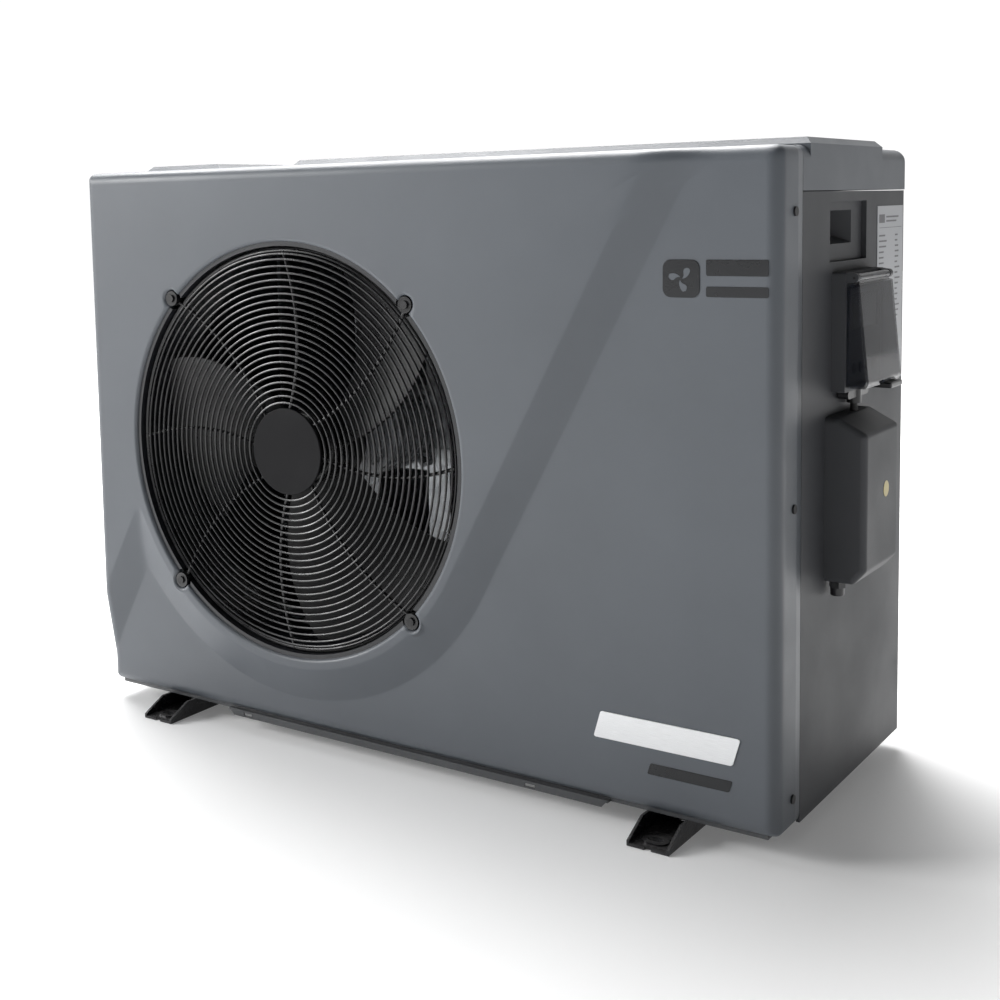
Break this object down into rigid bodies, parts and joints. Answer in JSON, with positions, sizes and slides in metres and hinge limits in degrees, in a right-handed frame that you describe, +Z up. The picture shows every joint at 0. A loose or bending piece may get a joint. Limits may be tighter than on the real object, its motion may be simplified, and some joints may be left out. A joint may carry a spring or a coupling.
{
  "type": "pool heat pump",
  "caption": "Horizontal-discharge pool heat pump with a round fan grille, moulded casing, hooded controller, terminal box and channel feet.",
  "frame": {"origin": "on the ground plane, midway between the four fixing slots of the feet", "axes": "+X to the right seen from the fan side, -Y out of the fan, +Z up"},
  "size_m": [1.048, 0.4995, 0.7605],
  "materials": {
    "casing": "satin",
    "side_casing": "satin",
    "black_steel": "gloss",
    "black_plastic": "satin",
    "dark_disc": "satin",
    "pan_steel": "satin",
    "zinc_steel": "satin",
    "screw_black": "satin",
    "fin_aluminium": "satin",
    "copper": "satin",
    "brass": "satin",
    "compressor_black": "gloss",
    "motor_grey": "satin",
    "rubber": "matte",
    "pvc_grey": "satin",
    "pvc_white": "satin",
    "circuit_board": "satin",
    "component_black": "gloss",
    "terminal_plastic": "satin",
    "smoked": "gloss",
    "display": "gloss",
    "face_grey": "satin",
    "key_plastic": "matte",
    "gauge_face": "satin",
    "clear_glass": "gloss",
    "label": "satin"
  },
  "bodies": {
    "cabinet": {"front_panel": "casing", "casing_screws": "screw_black", "right_side_panel": "side_casing", "left_side_panel": "side_casing", "top_cover": "casing", "base_pan": "pan_steel", "foot_left": "black_steel", "foot_right": "black_steel", "base_bolts": "zinc_steel", "rear_panel": "side_casing", "rear_guard": "black_steel", "partition": "zinc_steel", "fan_shroud": "black_plastic", "grille_rings": "black_steel", "grille_spokes": "black_steel", "grille_disc": "dark_disc", "fan_screws": "screw_black", "fan_motor": "motor_grey", "motor_bracket": "zinc_steel", "evaporator_fins": "fin_aluminium", "evaporator_plates": "zinc_steel", "evaporator_bends": "copper", "compressor": "compressor_black", "compressor_grommets": "rubber", "accumulator": "compressor_black", "four_way_valve": "brass", "filter_drier": "copper", "expansion_valve": "brass", "refrigerant_pipes": "copper", "heat_exchanger": "pvc_grey", "water_pipes": "pvc_white", "water_unions": "pvc_white", "union_nuts": "pvc_grey", "flow_switch": "black_plastic", "pressure_gauge": "gauge_face", "gauge_glass": "clear_glass", "drain_spout": "black_plastic", "electronics_box": "zinc_steel", "inverter_board": "circuit_board", "board_components": "component_black", "heatsink": "fin_aluminium", "terminal_cover": "casing", "terminal_block": "terminal_plastic", "cable_gland": "black_plastic", "controller_base": "side_casing", "controller_face": "face_grey", "controller_display": "display", "lid_pin": "screw_black", "link_cable": "rubber", "link_gland": "black_plastic", "rating_label": "label"},
    "fan": {"fan_blades": "black_plastic", "fan_nut": "zinc_steel", "motor_shaft": "zinc_steel"},
    "lid": {"controller_lid": "smoked", "lid_latch": "black_plastic"},
    "key_power": {"key_power": "key_plastic"},
    "key_mode": {"key_mode": "key_plastic"},
    "key_down": {"key_down": "key_plastic"},
    "key_up": {"key_up": "key_plastic"}
  },
  "joints": [
    {"name": "fan_spin", "type": "hinge", "parent": "cabinet", "child": "fan", "pos_m": [-0.1495, -0.138, 0.388], "axis": [0, 1, 0], "continuous": true},
    {"name": "lid_hinge", "type": "hinge", "parent": "cabinet", "child": "lid", "pos_m": [0.524, 0.0125, 0.609], "axis": [0, -1, 0], "range_deg": [0, 110]},
    {"name": "key_power_press", "type": "slide", "parent": "cabinet", "child": "key_power", "axis": [-1, 0, 0], "range_m": [0, 0.0008], "stiffness_N_per_m": 400},
    {"name": "key_mode_press", "type": "slide", "parent": "cabinet", "child": "key_mode", "axis": [-1, 0, 0], "range_m": [0, 0.0008], "stiffness_N_per_m": 400},
    {"name": "key_down_press", "type": "slide", "parent": "cabinet", "child": "key_down", "axis": [-1, 0, 0], "range_m": [0, 0.0008], "stiffness_N_per_m": 400},
    {"name": "key_up_press", "type": "slide", "parent": "cabinet", "child": "key_up", "axis": [-1, 0, 0], "range_m": [0, 0.0008], "stiffness_N_per_m": 400}
  ]
}
